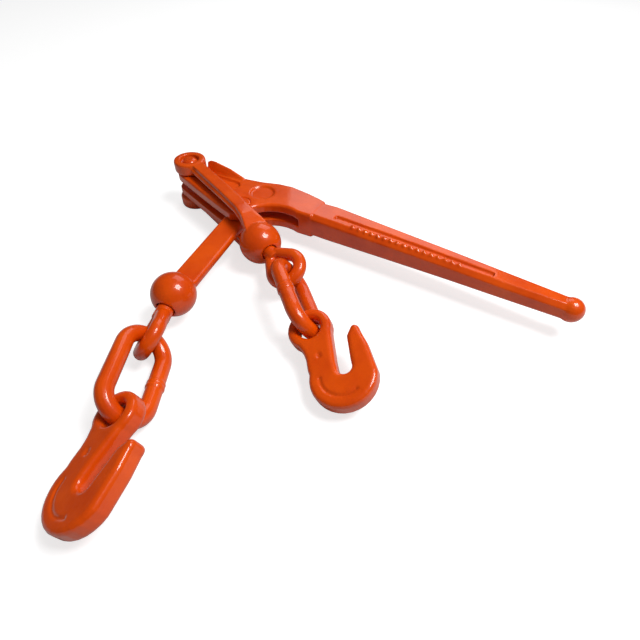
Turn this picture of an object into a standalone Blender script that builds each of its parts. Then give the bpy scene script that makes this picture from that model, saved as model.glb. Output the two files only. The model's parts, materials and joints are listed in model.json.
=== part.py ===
"""Lever type load binder: a forged lever that draws two grab hooks together over centre.

The binder lies on its side. +X runs along the handle from the yoke pivot to the knob, and +Z runs
along the pivot pins. The origin is on the yoke pivot's axis, at the flat of the lower rivet, so z = 0
is the plane that the binder rests on. The pieces are designed about the mid plane between the lever's
cheeks and lifted by MID_HEIGHT at the end. Lengths are in millimetres, and MM turns them into metres.
"""

import math

import bmesh
import bpy
from mathutils import Matrix, Vector

MM = 0.001

# Lever: a fork head with two cheeks, and a handle that ends in a knob
BAR_PIVOT = Vector((84.0, -24.5, 0.0))
CHEEK_OUT = 13.0
CHEEK_IN = 4.0
TIP_RADIUS = 14.5
SLOT_CENTRE = (82.0, 3.0)
SLOT_REACH = 61.0
KNOB_CENTRE = 394.0
KNOB_SIDE = -3.4
KNOB_RADIUS = 10.4
HANDLE_CHAMFER = 4.0
EDGE_ROUND = 1.6
FLANGE_FACE = 14.0
POCKET_END = (56.0, -3.0)
POCKET_HALF = 8.6
POCKET_DEPTH = 2.2
CHEEK_DISH_PLACE = Vector((91.5, 1.5, 0.0))
CHEEK_DISH_RADIUS = 11.4
CHEEK_DISH_DEPTH = 1.8
SEAT_RADIUS = 13.2
SEAT_DEPTH = 2.2
PIN_RADIUS = 8.0

# Yoke: two rings, two arms and a hollow ball
YOKE_LENGTH = 139.8
YOKE_ANGLE = -23.5
RING_RADIUS = 16.6
RING_IN = 13.8
RING_OUT = 26.2
DISH_RADIUS = 9.8
DISH_DEPTH = 4.2
MID_HEIGHT = RING_OUT
RIVET_RADIUS = 5.6
RIVET_HEAD_RADIUS = 7.8
RIVET_HEAD_RISE = 0.6

# Tension bar: an eye, a flat bar and a hollow ball
BAR_LENGTH = 127.3
BAR_ANGLE = -79.4
BAR_HALF_WIDTH = 11.8
BAR_HALF_THICK = 3.4
BAR_EYE_RADIUS = 15.0
BAR_EYE_HALF = 3.6

# Ball sockets and the eye bolts held in them
YOKE_BALL_RADIUS = 19.4
BAR_BALL_RADIUS = 18.6
SOCKET_RADIUS = 11.6
SOCKET_HALF = 8.6
NECK_HOLE_RADIUS = 7.6
BOLT_HEAD_RADIUS = 11.0
BOLT_HEAD_HALF = 8.0
SHANK_RADIUS = 6.6
EYE_REACH = 44.0
EYE_WIRE = 5.9
EYE_LOOP_RADIUS = 13.6

# Chain links and grab hooks
LINK_WIRE = 6.5
LINK_PITCH = 74.0
LINK_BEND = 17.4
HOOK_HALF_THICK = 7.2
HOOK_EYE_RADIUS = 17.8
HOOK_HOLE_RADIUS = 9.0
HOOK_EDGE_ROUND = 3.2

# How the pieces lie at rest: heading in plan, fall below level and roll about their length, degrees
YOKE_CHAIN = {
    "bolt": (-24.3, 1.9, 32.8),
    "link": (-41.7, 4.2, -55.1),
    "hook": (-46.7, 6.4, 20.4),
}
BAR_CHAIN = {
    "bolt": (-73.6, 8.7, 53.3),
    "link": (-61.0, -1.9, -51.7),
    "hook": (-82.4, 10.4, 24.1),
}

RUN_GAP = 0.08
SEGMENTS = 32


def clear_scene():
    for thing in list(bpy.data.objects):
        bpy.data.objects.remove(thing, do_unlink=True)


def make_collection(name):
    group = bpy.data.collections.new(name)
    bpy.context.scene.collection.children.link(group)
    return group


def paint(name, colour, roughness):
    """A glossy coat of paint over steel."""
    material = bpy.data.materials.new(name)
    material.use_nodes = True
    shader = material.node_tree.nodes["Principled BSDF"]
    shader.inputs["Base Color"].default_value = (*colour, 1.0)
    shader.inputs["Roughness"].default_value = roughness
    shader.inputs["Metallic"].default_value = 0.0
    return material


def turn(degrees, axis):
    return Matrix.Rotation(math.radians(degrees), 4, axis)


def hang(origin, heading, fall, roll):
    """The matrix of a piece whose length runs along its own +X from the origin given."""
    return Matrix.Translation(origin) @ turn(heading, "Z") @ turn(fall, "Y") @ turn(roll, "X")


def heading_vector(degrees):
    return Vector((math.cos(math.radians(degrees)), math.sin(math.radians(degrees)), 0.0))


def arc(centre, radius, start, end, steps):
    """Points on an arc in plan, from start to end in degrees."""
    angles = [math.radians(start + (end - start) * k / steps) for k in range(steps + 1)]
    return [(centre[0] + radius * math.cos(a), centre[1] + radius * math.sin(a)) for a in angles]


def to_object(name, bm):
    mesh = bpy.data.meshes.new(name)
    bmesh.ops.recalc_face_normals(bm, faces=bm.faces)
    bm.to_mesh(mesh)
    bm.free()
    made = bpy.data.objects.new(name, mesh)
    bpy.context.scene.collection.objects.link(made)
    return made


def slab(name, outline, low, high):
    """A flat outline raised from low to high."""
    bm = bmesh.new()
    corners = [bm.verts.new((x, y, low)) for x, y in outline]
    face = bm.faces.new(corners)
    raised = bmesh.ops.extrude_face_region(bm, geom=[face])["geom"]
    moved = [v for v in raised if isinstance(v, bmesh.types.BMVert)]
    bmesh.ops.translate(bm, verts=moved, vec=(0.0, 0.0, high - low))
    return to_object(name, bm)


def drum(name, radius, low, high, top_radius=None, segments=SEGMENTS):
    """A cylinder or cone about Z from low to high."""
    bm = bmesh.new()
    bmesh.ops.create_cone(
        bm,
        cap_ends=True,
        segments=segments,
        radius1=radius,
        radius2=radius if top_radius is None else top_radius,
        depth=high - low,
        matrix=Matrix.Translation((0.0, 0.0, (low + high) / 2)),
    )
    return to_object(name, bm)


def ball(name, radius, rings=16):
    bm = bmesh.new()
    bmesh.ops.create_uvsphere(bm, u_segments=2 * rings, v_segments=rings, radius=radius)
    return to_object(name, bm)


def loft(name, sections):
    """A closed body through like sections, each a list of points in order."""
    bm = bmesh.new()
    rings = [[bm.verts.new(point) for point in section] for section in sections]
    for first, second in zip(rings, rings[1:]):
        for k in range(len(first)):
            after = (k + 1) % len(first)
            bm.faces.new((first[k], first[after], second[after], second[k]))
    bm.faces.new(rings[0])
    bm.faces.new(rings[-1])
    return to_object(name, bm)


def box_section(along, side, side_half, height, height_half, chamfer):
    """An eight sided section across +X: side runs along Y, height along Z."""
    a, b, c = side_half, height_half, chamfer
    loop = [(-a + c, -b), (a - c, -b), (a, -b + c), (a, b - c), (a - c, b), (-a + c, b), (-a, b - c), (-a, -b + c)]
    return [(along, side + y, height + z) for y, z in loop]


def wire_loop(name, points, radius):
    """A closed round wire through the points, as a mesh."""
    curve = bpy.data.curves.new(name, "CURVE")
    curve.dimensions = "3D"
    curve.bevel_depth = radius
    curve.bevel_resolution = 2
    spline = curve.splines.new("POLY")
    spline.points.add(len(points) - 1)
    for point, place in zip(spline.points, points):
        point.co = (*place, 1.0)
    spline.use_cyclic_u = True
    guide = bpy.data.objects.new(name + "_guide", curve)
    bpy.context.scene.collection.objects.link(guide)
    bpy.context.view_layer.update()
    seen = guide.evaluated_get(bpy.context.evaluated_depsgraph_get())
    made = bpy.data.objects.new(name, bpy.data.meshes.new_from_object(seen))
    bpy.context.scene.collection.objects.link(made)
    bpy.data.objects.remove(guide, do_unlink=True)
    return made


def place(thing, matrix):
    thing.data.transform(matrix)
    if matrix.determinant() < 0.0:
        thing.data.flip_normals()
    return thing


def bake(thing):
    """Turns the modifiers into mesh."""
    bpy.context.view_layer.update()
    seen = thing.evaluated_get(bpy.context.evaluated_depsgraph_get())
    mesh = bpy.data.meshes.new_from_object(seen)
    thing.modifiers.clear()
    thing.data = mesh
    return thing


def combine(thing, other, operation):
    """Joins other to thing, or cuts it away, and removes other."""
    tool = thing.modifiers.new(operation.lower(), "BOOLEAN")
    tool.operation = operation
    tool.object = other
    tool.solver = "EXACT"
    bake(thing)
    bpy.data.objects.remove(other, do_unlink=True)
    return thing


def join(thing, *others):
    for other in others:
        combine(thing, other, "UNION")
    return thing


def cut(thing, *others):
    for other in others:
        combine(thing, other, "DIFFERENCE")
    return thing


def soften(thing, width, segments=1, sharper_than=35.0):
    """Rounds the edges that are sharper than the angle given."""
    bevel = thing.modifiers.new("edge", "BEVEL")
    bevel.width = width
    bevel.segments = segments
    bevel.limit_method = "ANGLE"
    bevel.angle_limit = math.radians(sharper_than)
    return bake(thing)


def finish(thing, name, group, material, origin=None):
    """Scales a finished piece to metres, names it, and sets its origin on its joint."""
    centre = Vector(origin) if origin is not None else Vector((0.0, 0.0, 0.0))
    thing.data.transform(Matrix.Scale(MM, 4) @ Matrix.Translation(-centre))
    thing.location = (centre + Vector((0.0, 0.0, MID_HEIGHT))) * MM
    thing.name = name
    thing.data.name = name
    thing.data.materials.clear()
    thing.data.materials.append(material)
    thing.data.shade_smooth()
    thing.data.set_sharp_from_angle(angle=math.radians(35.0))
    for holder in list(thing.users_collection):
        holder.objects.unlink(thing)
    group.objects.link(thing)
    return thing


# ---------------------------------------------------------------- lever


def head_outline():
    """The fork head in plan: round tip, hump above, wide heel and ball nest below."""
    tip = arc((0.0, 0.0), TIP_RADIUS, 95.0, 250.0, 10)
    heel = [(30.0, -26.5), (60.0, -37.0), (86.0, -45.5)]
    nest = arc((128.0, -43.0), 34.0, 178.0, 70.0, 9)
    neck = [(156.0, -10.2), (156.0, 18.4)]
    top = [(147.0, 21.0), (133.0, 23.8), (112.0, 26.5), (97.0, 24.5), (80.0, 19.0), (54.0, 14.5)]
    return tip + heel + nest + neck + top


def handle():
    """The handle from the head to the knob: each station is along, low edge, high edge, half thickness."""
    stations = [
        (143.0, -9.8, 18.0, 12.6),
        (170.0, -10.4, 20.2, 12.3),
        (240.0, -10.5, 15.9, 10.8),
        (290.0, -10.8, 12.8, 9.8),
        (340.0, -11.8, 8.9, 8.9),
        (KNOB_CENTRE, -12.2, 4.4, 8.2),
    ]
    sections = []
    for along, low, high, half in stations:
        middle = (high + low) / 2
        sections.append(box_section(along, middle, (high - low) / 2, 0.0, half, HANDLE_CHAMFER))
    body = loft("handle", sections)
    knob = place(ball("knob", KNOB_RADIUS, 12), Matrix.Translation((KNOB_CENTRE, KNOB_SIDE, 0.0)))
    return join(body, knob)


def fork_slot():
    """The gap between the cheeks, open at the fork's tip and closed by an arc near the handle."""
    x, y = SLOT_CENTRE
    far = arc((x, y), SLOT_REACH, -90.0, 90.0, 16)
    outline = [(-60.0, y + SLOT_REACH), (-60.0, y - SLOT_REACH)] + far
    return slab("slot", outline, -CHEEK_IN, CHEEK_IN)


def groove(side):
    """A forged groove along the outer face of the handle: along, middle and the face's half thickness."""
    floor = 2.2
    sections = []
    for along, middle, half in ((176.0, 0.4, 12.2), (245.0, -0.6, 10.7), (330.0, -3.6, 9.1)):
        sections.append(box_section(along, middle, 2.8, side * half, floor, 0.8))
    return loft("groove", sections)


def flange(side):
    """The upstanding rim along a cheek's upper edge: along, start of its inner slope, height of its crest."""
    foot = CHEEK_OUT - 3.0
    crest = 1.8
    stations = [(13.5, 10.8, 20.4), (17.5, 6.6, 22.6), (24.0, 6.6, 22.9), (44.0, 7.6, 19.6), (60.0, 9.6, 14.2)]
    sections = []
    for along, slope, high in stations:
        loop = [(FLANGE_FACE, foot), (FLANGE_FACE, high), (FLANGE_FACE - crest, high)]
        loop += [(slope, CHEEK_OUT - 0.6), (slope, foot)]
        sections.append([(along, y, side * z) for y, z in loop])
    return loft("flange", sections)


def pocket(side):
    """The shallow pocket in a cheek under the yoke's arm, with a round end."""
    x, y = POCKET_END
    left = x - 32.0
    outline = [(left, y + POCKET_HALF), (left, y - POCKET_HALF)] + arc((x, y), POCKET_HALF, -90.0, 90.0, 12)
    tool = slab("pocket", outline, CHEEK_OUT - POCKET_DEPTH, CHEEK_OUT + 6.0)
    return tool if side > 0 else place(tool, Matrix.Diagonal((1.0, 1.0, -1.0, 1.0)))


def cheek_dish(side):
    """The shallow round recess on the outside of a cheek."""
    floor = CHEEK_OUT - CHEEK_DISH_DEPTH
    dish = drum("cheek_dish", CHEEK_DISH_RADIUS, floor, CHEEK_OUT + 2.0, CHEEK_DISH_RADIUS + 2.4)
    if side < 0:
        place(dish, turn(180.0, "X"))
    return place(dish, Matrix.Translation(CHEEK_DISH_PLACE))


def lever():
    body = slab("lever", head_outline(), -CHEEK_OUT, CHEEK_OUT)
    soften(body, EDGE_ROUND, 1, 60.0)
    join(body, handle())
    cut(body, fork_slot())
    for side in (-1, 1):
        join(body, flange(side))
        cut(body, groove(side), pocket(side), cheek_dish(side))
        seat = drum("seat", SEAT_RADIUS, -SEAT_DEPTH, SEAT_DEPTH)
        cut(body, place(seat, Matrix.Translation(BAR_PIVOT + Vector((0.0, 0.0, side * CHEEK_OUT)))))
        sink = drum("sink", RIVET_RADIUS + 3.2, -1.6, 1.6)
        cut(body, place(sink, Matrix.Translation((0.0, 0.0, side * CHEEK_IN))))
    bore = drum("bore", PIN_RADIUS + RUN_GAP, -2 * CHEEK_OUT, 2 * CHEEK_OUT)
    cut(body, place(bore, Matrix.Translation(BAR_PIVOT)))
    cut(body, drum("bore", RIVET_RADIUS + RUN_GAP, -2 * CHEEK_OUT, 2 * CHEEK_OUT))
    return body


# ---------------------------------------------------------------- pins


def bar_pin():
    """A through pin with a flat head sunk in each cheek."""
    head = SEAT_RADIUS - 0.4
    body = drum("pin", PIN_RADIUS, -CHEEK_OUT + 1.0, CHEEK_OUT - 1.0)
    for side in (-1, 1):
        plate = drum("head", head, -(SEAT_DEPTH - 0.6) / 2, (SEAT_DEPTH - 0.6) / 2)
        middle = side * (CHEEK_OUT - (SEAT_DEPTH - 0.6) / 2 - 0.3)
        join(body, place(plate, Matrix.Translation((0.0, 0.0, middle))))
    return place(body, Matrix.Translation(BAR_PIVOT))


def trunnion_rivet(side):
    """A short rivet: sunk head inside the cheek, domed head with a small flat in the ring's dish."""
    body = drum("rivet", RIVET_RADIUS, CHEEK_IN + 0.3, RING_OUT - DISH_DEPTH + 1.0)
    foot = drum("foot", RIVET_RADIUS + 2.8, CHEEK_IN + 0.3, CHEEK_IN + 1.3)
    dome = ball("dome", RIVET_HEAD_RADIUS, 10)
    place(dome, Matrix.Diagonal((1.0, 1.0, RIVET_HEAD_RISE, 1.0)))
    cut(dome, drum("trim", 20.0, -20.0, 0.0))
    place(dome, Matrix.Translation((0.0, 0.0, RING_OUT - DISH_DEPTH + 0.3)))
    cut(dome, drum("trim", 20.0, RING_OUT, RING_OUT + 20.0))
    join(body, foot, dome)
    if side < 0:
        place(body, turn(180.0, "X"))
    return body


# ---------------------------------------------------------------- yoke and bar


def hollow_ball(radius, bore):
    """A ball socket and its cutters: bore is the matrix whose +X leaves through the neck hole."""
    lay = turn(90.0, "Y")
    cavity = place(drum("cavity", SOCKET_RADIUS, -SOCKET_HALF, SOCKET_HALF), bore @ lay)
    neck = place(drum("neck", NECK_HOLE_RADIUS, 0.0, 2 * radius), bore @ lay)
    mouth = drum("mouth", NECK_HOLE_RADIUS - 0.5, radius - 3.6, radius + 3.0, NECK_HOLE_RADIUS + 4.0)
    return ball("ball", radius), [cavity, neck, place(mouth, bore @ lay)]


def arm_section(along, low, high, inner, top, step):
    """A section across an arm: a flat outer face, and a groove and a rib along the low side."""
    rise = top - inner
    edge = 0.12 * rise
    return [
        (low + 1.3 * step, top),
        (high - edge, top),
        (high, top - edge),
        (high, inner + edge),
        (high - edge, inner),
        (low + 1.3 * step, inner),
        (low + step, inner + edge),
        (low + step, inner + 0.24 * rise),
        (low, inner + 0.34 * rise),
        (low, inner + 0.60 * rise),
        (low + step, inner + 0.70 * rise),
    ]


def arm(side):
    """One yoke arm, from its ring to the ball; side is +1 for the upper arm."""
    inner, outer = RING_IN + 0.2, RING_OUT - 0.3
    stations = [
        (6.0, -6.4, 9.0, inner, outer, 2.2),
        (30.0, -6.4, 9.0, inner, outer - 0.3, 2.2),
        (78.0, -6.4, 8.8, inner, outer - 1.2, 2.2),
        (106.0, -6.6, 8.2, inner, outer - 2.0, 2.0),
        (118.0, -7.8, 8.6, 12.0, outer - 3.4, 1.6),
        (128.0, -9.8, 10.4, 8.6, outer - 6.0, 0.8),
        (138.0, -12.0, 12.0, 5.0, outer - 10.4, 0.4),
    ]
    sections = []
    for along, low, high, inside, top, step in stations:
        section = arm_section(along, low, high, inside, top, step)
        sections.append([(along, y, side * z) for y, z in section])
    return loft("arm", sections)


def yoke(bore):
    """Built along +X from the pivot, then turned to its rest angle."""
    body, cutters = hollow_ball(YOKE_BALL_RADIUS, bore)
    place(body, Matrix.Translation((YOKE_LENGTH, 0.0, 0.0)))
    for side in (-1, 1):
        join(body, arm(side))
        low, high = (RING_IN, RING_OUT) if side > 0 else (-RING_OUT, -RING_IN)
        ring = soften(drum("ring", RING_RADIUS, low, high), 2.0, 2, 60.0)
        join(body, ring)
    place(body, turn(YOKE_ANGLE, "Z"))
    for side in (-1, 1):
        dish = drum("dish", DISH_RADIUS, -DISH_DEPTH, DISH_DEPTH)
        cut(body, place(dish, Matrix.Translation((0.0, 0.0, side * RING_OUT))))
    cut(body, drum("bore", RIVET_RADIUS + RUN_GAP, -2 * RING_OUT, 2 * RING_OUT))
    return cut(body, *cutters)


def tension_bar(bore):
    body, cutters = hollow_ball(BAR_BALL_RADIUS, bore)
    place(body, Matrix.Translation((BAR_LENGTH, 0.0, 0.0)))
    eye = drum("eye", BAR_EYE_RADIUS, -BAR_EYE_HALF, BAR_EYE_HALF)
    flat = loft(
        "flat",
        [
            box_section(2.0, 0.0, BAR_HALF_WIDTH, 0.0, BAR_HALF_THICK, 1.3),
            box_section(BAR_LENGTH - 6.0, 0.0, BAR_HALF_WIDTH, 0.0, BAR_HALF_THICK, 1.3),
        ],
    )
    join(body, flat, eye)
    place(body, Matrix.Translation(BAR_PIVOT) @ turn(BAR_ANGLE, "Z"))
    hole = drum("hole", PIN_RADIUS + RUN_GAP, -20.0, 20.0)
    cut(body, place(hole, Matrix.Translation(BAR_PIVOT)))
    return cut(body, *cutters)


# ---------------------------------------------------------------- chain ends


def eye_bolt():
    """Along +X from the ball's centre: captive head, shank and a pear shaped eye."""
    lay = turn(90.0, "Y")
    body = place(drum("bolt", SHANK_RADIUS, 0.0, EYE_REACH - EYE_LOOP_RADIUS - 3.0, SHANK_RADIUS + 0.4), lay)
    head = place(drum("head", BOLT_HEAD_RADIUS - 3.0, -BOLT_HEAD_HALF, BOLT_HEAD_HALF, BOLT_HEAD_RADIUS), lay)
    round_part = arc((EYE_REACH, 0.0), EYE_LOOP_RADIUS, -125.0, 125.0, 18)
    throat = [(EYE_REACH - 19.0, 4.4), (EYE_REACH - 21.0, 0.0), (EYE_REACH - 19.0, -4.4)]
    loop = wire_loop("loop", [(x, y, 0.0) for x, y in round_part + throat], EYE_WIRE)
    return join(body, head, loop)


def chain_link():
    """Along +X between the centres of its two end wires."""
    half = LINK_PITCH / 2 - LINK_BEND
    middle = LINK_PITCH / 2
    points = arc((middle + half, 0.0), LINK_BEND, -90.0, 90.0, 10)
    points += arc((middle - half, 0.0), LINK_BEND, 90.0, 270.0, 10)
    return wire_loop("link", [(x, y, 0.0) for x, y in points], LINK_WIRE)


def hook_outline():
    """The grab hook in plan: eye at the origin, bowl along +X, point on the +Y side of the slot."""
    eye = arc((0.0, 0.0), HOOK_EYE_RADIUS, 64.0, 318.0, 18)
    back = [(20.6, -9.4), (26.6, -8.7), (35.6, -9.4)]
    bowl = arc((49.6, 14.6), 25.5, -112.0, 78.0, 16)
    point = [(31.4, 39.0), (19.0, 37.0)] + arc((16.0, 33.0), 4.0, 80.0, 205.0, 4)
    slot = [(19.5, 25.8), (39.5, 23.3)] + arc((43.7, 17.6), 5.5, 80.0, -90.0, 8) + [(34.2, 12.5), (20.0, 14.4)]
    return eye + back + bowl + point + slot


def grab_hook():
    """Along +X from the eye's centre; the link's end wire turns at the origin."""
    body = slab("hook", hook_outline(), -HOOK_HALF_THICK, HOOK_HALF_THICK)
    soften(body, HOOK_EDGE_ROUND, 2, 50.0)
    hole = drum("hole", HOOK_HOLE_RADIUS, -20.0, 20.0, segments=24)
    cut(body, hole)
    for side in (-1, 1):
        rim = drum("rim", HOOK_HOLE_RADIUS - 0.2, 0.0, 6.0, HOOK_HOLE_RADIUS + 5.8, 24)
        lift = Matrix.Translation((0.0, 0.0, HOOK_HALF_THICK - 3.0))
        cut(body, place(rim, (turn(180.0, "X") if side < 0 else Matrix.Identity(4)) @ lift))
    return body


def chain_matrices(ball_centre, poses):
    """Rest matrices of the eye bolt, link and hook that hang from a ball."""
    bolt = hang(ball_centre, *poses["bolt"])
    eye = bolt @ Vector((EYE_REACH, 0.0, 0.0))
    link = hang(eye, *poses["link"])
    end = link @ Vector((LINK_PITCH, 0.0, 0.0))
    hook = hang(end, *poses["hook"])
    return bolt, link, hook


def build():
    clear_scene()
    group = make_collection("load_binder")
    make_collection("cutters").hide_render = True
    orange = (0.82, 0.085, 0.012)
    yoke_ball = heading_vector(YOKE_ANGLE) * YOKE_LENGTH
    bar_ball = BAR_PIVOT + heading_vector(BAR_ANGLE) * BAR_LENGTH
    made = [
        (lever(), "lever_handle", None),
        (bar_pin(), "bar_pin", BAR_PIVOT),
        (trunnion_rivet(1), "yoke_rivet_upper", None),
        (trunnion_rivet(-1), "yoke_rivet_lower", None),
    ]
    for side, centre, poses, carrier in (
        ("yoke", yoke_ball, YOKE_CHAIN, yoke),
        ("bar", bar_ball, BAR_CHAIN, tension_bar),
    ):
        bolt, link, hook = chain_matrices(centre, poses)
        pivot = BAR_PIVOT if side == "bar" else None
        name = "tension_bar" if side == "bar" else "yoke"
        made.append((carrier(bolt), name, pivot))
        made.append((place(eye_bolt(), bolt), side + "_eye_bolt", bolt.translation))
        made.append((place(chain_link(), link), side + "_link", link.translation))
        made.append((place(grab_hook(), hook), side + "_grab_hook", hook.translation))
    for thing, name, origin in made:
        finish(thing, name, group, paint(name + "_paint", orange, 0.3), origin)


build()
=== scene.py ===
"""The looks of the lever load binder: glossy orange forgings lying on a white studio floor.

Each CAD node is replaced by a finer forging made here. The pieces keep the CAD's places: positions
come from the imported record's joints and from the CAD meshes. Lengths are in metres unless a comment
says millimetres, and MM turns millimetres into metres.
"""

import json
import math

import bmesh
import bpy
from mathutils import Matrix, Vector

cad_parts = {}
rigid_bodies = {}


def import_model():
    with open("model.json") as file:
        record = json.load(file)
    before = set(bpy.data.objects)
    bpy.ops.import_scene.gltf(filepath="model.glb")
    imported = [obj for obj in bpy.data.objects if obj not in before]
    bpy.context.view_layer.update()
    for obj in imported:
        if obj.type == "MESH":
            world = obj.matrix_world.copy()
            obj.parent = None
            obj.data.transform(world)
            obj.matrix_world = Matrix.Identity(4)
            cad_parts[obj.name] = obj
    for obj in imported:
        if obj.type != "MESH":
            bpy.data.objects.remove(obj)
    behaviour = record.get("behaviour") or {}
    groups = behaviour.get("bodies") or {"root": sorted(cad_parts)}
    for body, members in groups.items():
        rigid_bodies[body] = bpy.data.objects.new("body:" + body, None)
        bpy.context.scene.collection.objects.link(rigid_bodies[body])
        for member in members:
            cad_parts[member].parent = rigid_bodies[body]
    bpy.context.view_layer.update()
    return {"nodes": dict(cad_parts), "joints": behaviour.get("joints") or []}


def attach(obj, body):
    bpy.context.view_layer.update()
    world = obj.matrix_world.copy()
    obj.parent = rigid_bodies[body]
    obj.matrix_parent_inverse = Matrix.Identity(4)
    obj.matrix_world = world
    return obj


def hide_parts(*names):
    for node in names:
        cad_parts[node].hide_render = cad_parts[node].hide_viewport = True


MM = 0.001

for leftover in list(bpy.data.objects):
    bpy.data.objects.remove(leftover, do_unlink=True)

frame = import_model()
joints = {joint["name"]: joint for joint in frame["joints"]}

# Sizes shared with the CAD, in millimetres
MID_HEIGHT = 26.2
BALL_RADIUS = {"yoke": 19.4, "bar": 18.6}
SOCKET_RADIUS = 11.55
SOCKET_HALF = 8.55
NECK_HOLE_RADIUS = 7.55
BOLT_HEAD_RADIUS = 11.0
BOLT_HEAD_HALF = 8.0
SHANK_RADIUS = 6.6
EYE_WIRE = 5.9
EYE_LOOP_RADIUS = 13.6
LINK_WIRE = 6.5
LINK_BEND = 17.4
HOOK_HALF_THICK = 7.2

# How each hook lies at rest: heading in plan, fall below level and roll about its length, degrees
HOOK_REST = {"yoke": (-46.7, 6.4, 20.4), "bar": (-82.4, 10.4, 24.1)}

# The bar's pin, measured from the mid plane: a head at each end, and a ring that closes its seat
PIN_RADIUS = 7.9
PIN_HALF = 11.9
PIN_HEAD_RADIUS = 9.4
PIN_HEAD_THICK = 1.6
PIN_HEAD_STARTS = (-12.6, 11.0)
SEAT_RING_RADIUS = 13.8
SEAT_RING_BORE = 9.8
SEAT_RING_LOW = 10.2
SEAT_RING_HIGH = 12.9

# Row of pips along the handle, in place of the raised marks of a real forging
PIP_COUNT = 17
PIP_START = 198.0
PIP_STEP = 6.4
PIP_RADIUS = 1.7
PIP_SIDE = -5.6
HANDLE_HALF_AT_START = 11.7
HANDLE_TAPER = 0.0225

# Finish of the forgings
VOXEL = 0.75
FINE_VOXEL = 0.6
SOFT_PASSES = 7
LIGHT_PASSES = 3

# Studio
CAMERA_PLACE = Vector((0.3591, -0.3410, 0.2930))
CAMERA_AIM = Vector((0.2137, -0.0923, 0.0))
CAMERA_LENS = 26.94
LIGHT_TARGET = (0.17, -0.12, 0.02)
KEY_WAY = (0.459, 0.186, 0.855)
FILL_WAY = (-0.2, 0.75, 0.6)
KEY_POWER = 11.0
FILL_POWER = 3.0
PLAIN_STRENGTH = 0.22
MIRRORED_STRENGTH = 0.03


# ---------------------------------------------------------------- shaping tools


def arc(centre, radius, start, end, steps):
    """Points on an arc in plan, from start to end in degrees."""
    angles = [math.radians(start + (end - start) * k / steps) for k in range(steps + 1)]
    return [(centre[0] + radius * math.cos(a), centre[1] + radius * math.sin(a)) for a in angles]


def link_in(name, mesh):
    made = bpy.data.objects.new(name, mesh)
    bpy.context.scene.collection.objects.link(made)
    return made


def to_object(name, bm):
    mesh = bpy.data.meshes.new(name)
    bmesh.ops.recalc_face_normals(bm, faces=bm.faces)
    bm.to_mesh(mesh)
    bm.free()
    return link_in(name, mesh)


def copy_of(node):
    """A welded copy of a CAD node's mesh, in millimetres."""
    bm = bmesh.new()
    bm.from_mesh(frame["nodes"][node].data)
    bmesh.ops.remove_doubles(bm, verts=bm.verts, dist=0.002 * MM)
    bmesh.ops.scale(bm, verts=bm.verts, vec=(1 / MM, 1 / MM, 1 / MM))
    return to_object(node + "_copy", bm)


def drum(name, radius, low, high, top_radius=None, segments=96):
    bm = bmesh.new()
    top = radius if top_radius is None else top_radius
    lift = Matrix.Translation((0.0, 0.0, (low + high) / 2))
    bmesh.ops.create_cone(
        bm, cap_ends=True, segments=segments, radius1=radius, radius2=top, depth=high - low, matrix=lift
    )
    return to_object(name, bm)


def ball(name, radius, rings=48):
    bm = bmesh.new()
    bmesh.ops.create_uvsphere(bm, u_segments=2 * rings, v_segments=rings, radius=radius)
    return to_object(name, bm)


def wire(name, points, radius, closed=False):
    """A round wire through the points, with its ends capped."""
    curve = bpy.data.curves.new(name, "CURVE")
    curve.dimensions = "3D"
    curve.bevel_depth = radius
    curve.bevel_resolution = 6
    curve.use_fill_caps = not closed
    spline = curve.splines.new("POLY")
    spline.points.add(len(points) - 1)
    for point, place in zip(spline.points, points):
        point.co = (*place, 1.0)
    spline.use_cyclic_u = closed
    guide = link_in(name + "_guide", curve)
    bpy.context.view_layer.update()
    seen = guide.evaluated_get(bpy.context.evaluated_depsgraph_get())
    made = link_in(name, bpy.data.meshes.new_from_object(seen))
    bpy.data.objects.remove(guide, do_unlink=True)
    bm = bmesh.new()
    bm.from_mesh(made.data)
    bmesh.ops.remove_doubles(bm, verts=bm.verts, dist=0.001)
    bmesh.ops.recalc_face_normals(bm, faces=bm.faces)
    bm.to_mesh(made.data)
    bm.free()
    return made


def place(thing, matrix):
    thing.data.transform(matrix)
    return thing


def bake(thing):
    bpy.context.view_layer.update()
    seen = thing.evaluated_get(bpy.context.evaluated_depsgraph_get())
    mesh = bpy.data.meshes.new_from_object(seen)
    thing.modifiers.clear()
    thing.data = mesh
    return thing


def combine(thing, others, operation):
    for other in others:
        tool = thing.modifiers.new("tool", "BOOLEAN")
        tool.operation = operation
        tool.object = other
        tool.solver = "EXACT"
        bake(thing)
        bpy.data.objects.remove(other, do_unlink=True)
    return thing


def join(thing, *others):
    return combine(thing, others, "UNION")


def cut(thing, *others):
    return combine(thing, others, "DIFFERENCE")


def forge(thing, voxel=VOXEL, passes=SOFT_PASSES):
    """Rounds every edge a little, as a forging's are."""
    remesh = thing.modifiers.new("remesh", "REMESH")
    remesh.mode = "VOXEL"
    remesh.voxel_size = voxel
    smooth = thing.modifiers.new("soften", "SMOOTH")
    smooth.factor = 0.5
    smooth.iterations = passes
    return bake(thing)


def show(thing, name, node, body, material):
    """Scales a finished piece to metres and puts it in the place of its CAD node."""
    thing.data.transform(Matrix.Scale(MM, 4))
    thing.name = name
    thing.data.name = name
    thing.data.materials.clear()
    thing.data.materials.append(material)
    thing.data.shade_smooth()
    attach(thing, body)
    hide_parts(node)
    return thing


# ---------------------------------------------------------------- places


def point_mm(values):
    return Vector(values) / MM


def axes_matrix(origin, along, up):
    """A matrix with its +X along and its +Z as near up as it can be."""
    x = Vector(along).normalized()
    z = (Vector(up) - x * x.dot(Vector(up))).normalized()
    y = z.cross(x)
    matrix = Matrix((x, y, z)).transposed().to_4x4()
    matrix.translation = origin
    return matrix


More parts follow.
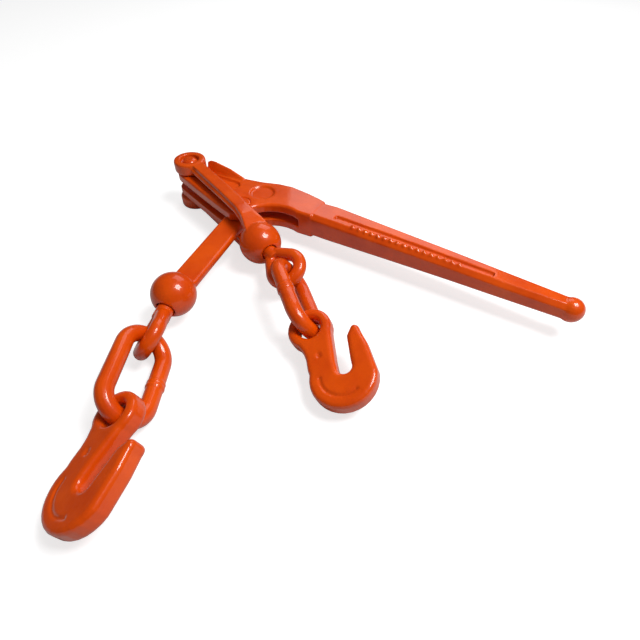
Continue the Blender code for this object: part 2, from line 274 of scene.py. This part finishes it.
def bolt_matrix(side):
    swivel, swing = joints[side + "_eye_swivel"], joints[side + "_link_swing"]
    return axes_matrix(point_mm(swivel["pos_m"]), swivel["axis"], swing["axis"])


def eye_reach(side):
    swivel, swing = joints[side + "_eye_swivel"], joints[side + "_link_swing"]
    return (point_mm(swing["pos_m"]) - point_mm(swivel["pos_m"])).length


def link_matrix(side):
    """Along the link's own length; its flat side comes from the CAD link's own thickness."""
    start = point_mm(joints[side + "_link_swing"]["pos_m"])
    end = point_mm(joints[side + "_hook_swing"]["pos_m"])
    along = (end - start).normalized()
    corners = [vertex.co / MM - start for vertex in frame["nodes"][side + "_link"].data.vertices]
    best, thinnest = None, 1e9
    side_way = along.orthogonal().normalized()
    for k in range(720):
        across = Matrix.Rotation(math.pi * k / 720, 3, along) @ side_way
        reach = [corner.dot(across) for corner in corners]
        if max(reach) - min(reach) < thinnest:
            best, thinnest = across, max(reach) - min(reach)
    return axes_matrix(start, along, best), (end - start).length


def hook_matrix(side):
    heading, fall, roll = [math.radians(value) for value in HOOK_REST[side]]
    turned = Matrix.Rotation(heading, 4, "Z") @ Matrix.Rotation(fall, 4, "Y") @ Matrix.Rotation(roll, 4, "X")
    return Matrix.Translation(point_mm(joints[side + "_hook_swing"]["pos_m"])) @ turned


# ---------------------------------------------------------------- paint


def node(tree, kind, **inputs):
    made = tree.nodes.new(kind)
    for key, value in inputs.items():
        made.inputs[key.replace("_", " ")].default_value = value
    return made


def forged_paint(name, colour, shade, seed, wear=0.5):
    """Glossy sprayed paint on a forging: colour drifts, orange peel, pits, slightly worn edges, and painted
    shade that darkens the hollows.
    """
    material = bpy.data.materials.new(name)
    material.use_nodes = True
    tree = material.node_tree
    shader = tree.nodes["Principled BSDF"]
    links = tree.links
    place_at = tree.nodes.new("ShaderNodeTexCoord")
    shift = tree.nodes.new("ShaderNodeMapping")
    shift.inputs["Location"].default_value = (seed * 0.37, seed * 0.61, seed * 0.23)
    links.new(place_at.outputs["Object"], shift.inputs["Vector"])

    drift = node(tree, "ShaderNodeTexNoise", Scale=38.0, Detail=4.0, Roughness=0.55)
    peel = node(tree, "ShaderNodeTexNoise", Scale=620.0, Detail=2.0, Roughness=0.5)
    hammered = node(tree, "ShaderNodeTexNoise", Scale=150.0, Detail=3.0, Roughness=0.6)
    pits = node(tree, "ShaderNodeTexVoronoi", Scale=420.0)
    for texture in (drift, peel, hammered, pits):
        links.new(shift.outputs["Vector"], texture.inputs["Vector"])

    spread = tree.nodes.new("ShaderNodeValToRGB")
    spread.color_ramp.elements[0].position = 0.32
    spread.color_ramp.elements[0].color = (*shade, 1.0)
    spread.color_ramp.elements[1].position = 0.68
    spread.color_ramp.elements[1].color = (*colour, 1.0)
    links.new(drift.outputs["Fac"], spread.inputs["Fac"])

    shape = tree.nodes.new("ShaderNodeNewGeometry")
    edges = tree.nodes.new("ShaderNodeValToRGB")
    edges.color_ramp.elements[0].position = 0.52
    edges.color_ramp.elements[0].color = (0.0, 0.0, 0.0, 1.0)
    edges.color_ramp.elements[1].position = 0.62
    edges.color_ramp.elements[1].color = (1.0, 1.0, 1.0, 1.0)
    links.new(shape.outputs["Pointiness"], edges.inputs["Fac"])
    scuffs = node(tree, "ShaderNodeTexNoise", Scale=210.0, Detail=5.0, Roughness=0.7)
    links.new(shift.outputs["Vector"], scuffs.inputs["Vector"])
    worn = tree.nodes.new("ShaderNodeMath")
    worn.operation = "MULTIPLY"
    links.new(edges.outputs["Color"], worn.inputs[0])
    links.new(scuffs.outputs["Fac"], worn.inputs[1])
    worn_part = tree.nodes.new("ShaderNodeMath")
    worn_part.operation = "MULTIPLY"
    worn_part.inputs[1].default_value = wear
    links.new(worn.outputs["Value"], worn_part.inputs[0])
    lighter = tree.nodes.new("ShaderNodeMix")
    lighter.data_type = "RGBA"
    lighter.inputs["B"].default_value = (0.93, 0.24, 0.055, 1.0)
    links.new(worn_part.outputs["Value"], lighter.inputs["Factor"])
    links.new(spread.outputs["Color"], lighter.inputs["A"])

    # Painted shade: concave spots (low pointiness) are mixed towards a deep red, standing in for the shade
    # that falls in hollows, creases and recesses.
    painted_shade_mask = tree.nodes.new("ShaderNodeValToRGB")
    painted_shade_mask.color_ramp.elements[0].position = 0.40
    painted_shade_mask.color_ramp.elements[0].color = (1.0, 1.0, 1.0, 1.0)
    painted_shade_mask.color_ramp.elements[1].position = 0.49
    painted_shade_mask.color_ramp.elements[1].color = (0.0, 0.0, 0.0, 1.0)
    links.new(shape.outputs["Pointiness"], painted_shade_mask.inputs["Fac"])
    painted_shade_mix = tree.nodes.new("ShaderNodeMix")
    painted_shade_mix.data_type = "RGBA"
    painted_shade_mix.inputs["B"].default_value = (0.16, 0.012, 0.004, 1.0)
    painted_shade_strength = tree.nodes.new("ShaderNodeMath")
    painted_shade_strength.operation = "MULTIPLY"
    painted_shade_strength.inputs[1].default_value = 0.8
    links.new(painted_shade_mask.outputs["Color"], painted_shade_strength.inputs[0])
    links.new(painted_shade_strength.outputs["Value"], painted_shade_mix.inputs["Factor"])
    links.new(lighter.outputs["Result"], painted_shade_mix.inputs["A"])
    links.new(painted_shade_mix.outputs["Result"], shader.inputs["Base Color"])

    gloss = tree.nodes.new("ShaderNodeMapRange")
    gloss.inputs["To Min"].default_value = 0.24
    gloss.inputs["To Max"].default_value = 0.42
    links.new(hammered.outputs["Fac"], gloss.inputs["Value"])
    links.new(gloss.outputs["Result"], shader.inputs["Roughness"])

    fine = node(tree, "ShaderNodeBump", Strength=0.12, Distance=0.0004)
    links.new(peel.outputs["Fac"], fine.inputs["Height"])
    rough = node(tree, "ShaderNodeBump", Strength=0.22, Distance=0.0012)
    links.new(hammered.outputs["Fac"], rough.inputs["Height"])
    links.new(fine.outputs["Normal"], rough.inputs["Normal"])
    dents = tree.nodes.new("ShaderNodeMapRange")
    dents.inputs["From Max"].default_value = 0.14
    links.new(pits.outputs["Distance"], dents.inputs["Value"])
    pitted = node(tree, "ShaderNodeBump", Strength=0.10, Distance=0.0004)
    links.new(dents.outputs["Result"], pitted.inputs["Height"])
    links.new(rough.outputs["Normal"], pitted.inputs["Normal"])
    links.new(pitted.outputs["Normal"], shader.inputs["Normal"])

    shader.inputs["Metallic"].default_value = 0.0
    shader.inputs["IOR"].default_value = 1.5
    shader.inputs["Specular IOR Level"].default_value = 0.22
    shader.inputs["Coat Weight"].default_value = 0.7
    shader.inputs["Coat Roughness"].default_value = 0.07
    return material


ORANGE = (0.80, 0.088, 0.0)
ORANGE_SHADE = (0.66, 0.058, 0.0)


# ---------------------------------------------------------------- pieces


def pips():
    """A row of plain raised pips along the handle's upper shoulder."""
    row = []
    for k in range(PIP_COUNT):
        along = PIP_STEP * k
        half = HANDLE_HALF_AT_START - HANDLE_TAPER * along
        pip = ball("pip", PIP_RADIUS, 12)
        place(pip, Matrix.Diagonal((1.0, 1.5, 0.8, 1.0)))
        place(pip, Matrix.Rotation(math.radians(20.0), 4, "X"))
        row.append(place(pip, Matrix.Translation((PIP_START + along, PIP_SIDE, MID_HEIGHT + half))))
    return row


def seat_fill(side):
    """Closes a pin seat in the cheek to a narrow ring round the pin's head."""
    ring = drum("fill", SEAT_RING_RADIUS, SEAT_RING_LOW, SEAT_RING_HIGH)
    cut(ring, drum("fill_bore", SEAT_RING_BORE, SEAT_RING_LOW - 1.2, SEAT_RING_HIGH + 1.1))
    turned = Matrix.Rotation(math.radians(0.0 if side > 0 else 180.0), 4, "X")
    pin = point_mm(joints["bar_swing"]["pos_m"])
    return place(ring, Matrix.Translation(pin) @ turned)


def lever_piece():
    """The CAD lever with narrowed pin seats, pips and rounded edges."""
    body = copy_of("lever_handle")
    join(body, seat_fill(1), seat_fill(-1), *pips())
    return forge(body, VOXEL, SOFT_PASSES - 2)


def rivet_piece(name):
    return forge(copy_of(name), FINE_VOXEL, LIGHT_PASSES)


def pin_piece():
    """The bar's pin, with a narrower head than its seat."""
    body = drum("pin", PIN_RADIUS, -PIN_HALF, PIN_HALF)
    for low in PIN_HEAD_STARTS:
        join(body, drum("head", PIN_HEAD_RADIUS, low, low + PIN_HEAD_THICK))
    place(body, Matrix.Translation(point_mm(joints["bar_swing"]["pos_m"])))
    return forge(body, FINE_VOXEL, LIGHT_PASSES)


def carrier_piece(name, side):
    """Yoke or tension bar: the CAD shape with a rounder ball, hollow where the bolt's head turns."""
    body = copy_of(name)
    radius = BALL_RADIUS[side]
    bolt = bolt_matrix(side)
    lay = bolt @ Matrix.Rotation(math.radians(90.0), 4, "Y")
    shell = place(ball("shell", radius), Matrix.Translation(bolt.translation))
    painted_shade_mask = drum("painted_shade_mask", SOCKET_RADIUS, -SOCKET_HALF, SOCKET_HALF)
    throat = drum("throat", NECK_HOLE_RADIUS, 0.0, 2 * radius)
    narrow, wide = NECK_HOLE_RADIUS - 0.45, NECK_HOLE_RADIUS + 4.05
    mouth = drum("mouth", narrow, radius - 3.6, radius + 3.0, wide)
    cut(shell, place(painted_shade_mask, lay), place(throat, lay), place(mouth, lay))
    join(body, shell)
    return forge(body)


def bolt_piece(side):
    """Captive head, tapered shank and a pear shaped eye, along +X from the ball's centre."""
    lay = Matrix.Rotation(math.radians(90.0), 4, "Y")
    reach = eye_reach(side)
    body = place(drum("shank", SHANK_RADIUS, 0.0, reach - EYE_LOOP_RADIUS - 3.0, SHANK_RADIUS + 0.4), lay)
    head = drum("head", BOLT_HEAD_RADIUS - 3.0, -BOLT_HEAD_HALF, BOLT_HEAD_HALF, BOLT_HEAD_RADIUS)
    loop = [(x, y, 0.0) for x, y in arc((reach, 0.0), EYE_LOOP_RADIUS, -125.0, 125.0, 72)]
    throat = [(reach - 19.0, 4.4, 0.0), (reach - 21.0, 0.0, 0.0), (reach - 19.0, -4.4, 0.0)]
    join(body, place(head, lay), wire("loop", loop + throat, EYE_WIRE, True))
    forge(body, FINE_VOXEL)
    return place(body, bolt_matrix(side))


def link_piece(side):
    """A chain link with its weld burr on one leg."""
    matrix, pitch = link_matrix(side)
    half, middle = pitch / 2 - LINK_BEND, pitch / 2
    points = arc((middle + half, 0.0), LINK_BEND, -90.0, 90.0, 40)
    points += arc((middle - half, 0.0), LINK_BEND, 90.0, 270.0, 40)
    body = wire("link", [(x, y, 0.0) for x, y in points], LINK_WIRE, True)
    turned = Matrix.Rotation(math.radians(90.0), 4, "Y")
    for offset, swell in ((-1.6, 0.55), (1.8, 0.7)):
        burr = drum("burr", LINK_WIRE + swell, -1.1, 1.1)
        join(body, place(burr, Matrix.Translation((middle + offset, LINK_BEND, 0.0)) @ turned))
    forge(body, FINE_VOXEL, LIGHT_PASSES + 1)
    return place(body, matrix)


def hook_piece(side):
    """The CAD hook with a crescent groove and a dimple on each face."""
    body = copy_of(side + "_grab_hook")
    home = hook_matrix(side)
    for face in (-1, 1):
        level = face * (HOOK_HALF_THICK + 0.7)
        crescent = [(x, y, level) for x, y in arc((49.6, 14.6), 16.5, -105.0, 30.0, 36)]
        inner = place(wire("crescent", crescent, 1.7), home)
        dimple = ball("dimple", 3.6, 16)
        place(dimple, Matrix.Translation((28.0, 2.2, level)) @ Matrix.Diagonal((1.0, 0.75, 0.5, 1.0)))
        cut(body, inner, place(dimple, home))
    return forge(body)


def build_pieces():
    pieces = (
        ("lever_handle", "lever", lever_piece()),
        ("bar_pin", "bar_pin", pin_piece()),
        ("yoke_rivet_upper", "lever", rivet_piece("yoke_rivet_upper")),
        ("yoke_rivet_lower", "lever", rivet_piece("yoke_rivet_lower")),
        ("yoke", "yoke", carrier_piece("yoke", "yoke")),
        ("tension_bar", "tension_bar", carrier_piece("tension_bar", "bar")),
        ("yoke_eye_bolt", "yoke_eye_bolt", bolt_piece("yoke")),
        ("bar_eye_bolt", "bar_eye_bolt", bolt_piece("bar")),
        ("yoke_link", "yoke_link", link_piece("yoke")),
        ("bar_link", "bar_link", link_piece("bar")),
        ("yoke_grab_hook", "yoke_grab_hook", hook_piece("yoke")),
        ("bar_grab_hook", "bar_grab_hook", hook_piece("bar")),
    )
    for number, (node_name, body, thing) in enumerate(pieces):
        paint = forged_paint(node_name + "_gloss", ORANGE, ORANGE_SHADE, number + 1)
        show(thing, node_name + "_forged", node_name, body, paint)


# ---------------------------------------------------------------- studio


# How much the floor is lifted towards white for the camera alone
FLOOR_LIFT = 0.70


def floor_material():
    material = bpy.data.materials.new("white_floor")
    material.use_nodes = True
    shader = material.node_tree.nodes["Principled BSDF"]
    shader.inputs["Base Color"].default_value = (0.55, 0.55, 0.55, 1.0)
    shader.inputs["Roughness"].default_value = 0.9
    shader.inputs["Specular IOR Level"].default_value = 0.1
    shader.inputs["Emission Color"].default_value = (1.0, 1.0, 1.0, 1.0)
    path = material.node_tree.nodes.new("ShaderNodeLightPath")
    lift = material.node_tree.nodes.new("ShaderNodeMath")
    lift.operation = "MULTIPLY"
    lift.inputs[1].default_value = FLOOR_LIFT
    material.node_tree.links.new(path.outputs["Is Camera Ray"], lift.inputs[0])
    material.node_tree.links.new(lift.outputs["Value"], shader.inputs["Emission Strength"])
    return material


def floor():
    bm = bmesh.new()
    bmesh.ops.create_grid(bm, x_segments=1, y_segments=1, size=6.0)
    plane = to_object("studio_floor", bm)
    plane.location = (0.2, -0.1, -0.0002)
    plane.data.materials.append(floor_material())


def area_light(name, direction, distance, size, power):
    """A square lamp that looks at the middle of the object from the direction given."""
    lamp = bpy.data.lights.new(name, "AREA")
    lamp.shape = "SQUARE"
    lamp.size = size
    lamp.energy = power
    holder = bpy.data.objects.new(name, lamp)
    bpy.context.scene.collection.objects.link(holder)
    way = Vector(direction).normalized()
    holder.location = Vector(LIGHT_TARGET) + way * distance
    holder.rotation_euler = way.to_track_quat("Z", "Y").to_euler()
    return holder


def surroundings():
    """Pale to the camera, dimmer as light on the pieces, and dimmest in the paint's reflections."""
    world = bpy.data.worlds.new("studio")
    bpy.context.scene.world = world
    world.use_nodes = True
    tree = world.node_tree
    tree.nodes.clear()
    out = tree.nodes.new("ShaderNodeOutputWorld")
    plain = tree.nodes.new("ShaderNodeBackground")
    plain.inputs["Color"].default_value = (1.0, 1.0, 1.0, 1.0)
    plain.inputs["Strength"].default_value = PLAIN_STRENGTH
    mirrored = tree.nodes.new("ShaderNodeBackground")
    mirrored.inputs["Color"].default_value = (1.0, 1.0, 1.0, 1.0)
    mirrored.inputs["Strength"].default_value = MIRRORED_STRENGTH
    seen = tree.nodes.new("ShaderNodeBackground")
    seen.inputs["Strength"].default_value = 1.0
    path = tree.nodes.new("ShaderNodeLightPath")
    first = tree.nodes.new("ShaderNodeMixShader")
    second = tree.nodes.new("ShaderNodeMixShader")
    tree.links.new(path.outputs["Is Glossy Ray"], first.inputs["Fac"])
    tree.links.new(plain.outputs["Background"], first.inputs[1])
    tree.links.new(mirrored.outputs["Background"], first.inputs[2])
    tree.links.new(path.outputs["Is Camera Ray"], second.inputs["Fac"])
    tree.links.new(first.outputs["Shader"], second.inputs[1])
    tree.links.new(seen.outputs["Background"], second.inputs[2])
    tree.links.new(second.outputs["Shader"], out.inputs["Surface"])


def camera():
    lens = bpy.data.cameras.new("camera")
    lens.lens = CAMERA_LENS
    lens.sensor_width = 36.0
    lens.clip_start = 0.01
    eye = bpy.data.objects.new("camera", lens)
    bpy.context.scene.collection.objects.link(eye)
    eye.location = CAMERA_PLACE
    eye.rotation_euler = (CAMERA_AIM - CAMERA_PLACE).to_track_quat("-Z", "Y").to_euler()
    bpy.context.scene.camera = eye


build_pieces()
floor()
surroundings()
camera()
area_light("key", KEY_WAY, 1.1, 0.45, KEY_POWER)
area_light("fill", FILL_WAY, 1.4, 0.8, FILL_POWER)
bpy.context.scene.view_settings.view_transform = "Standard"
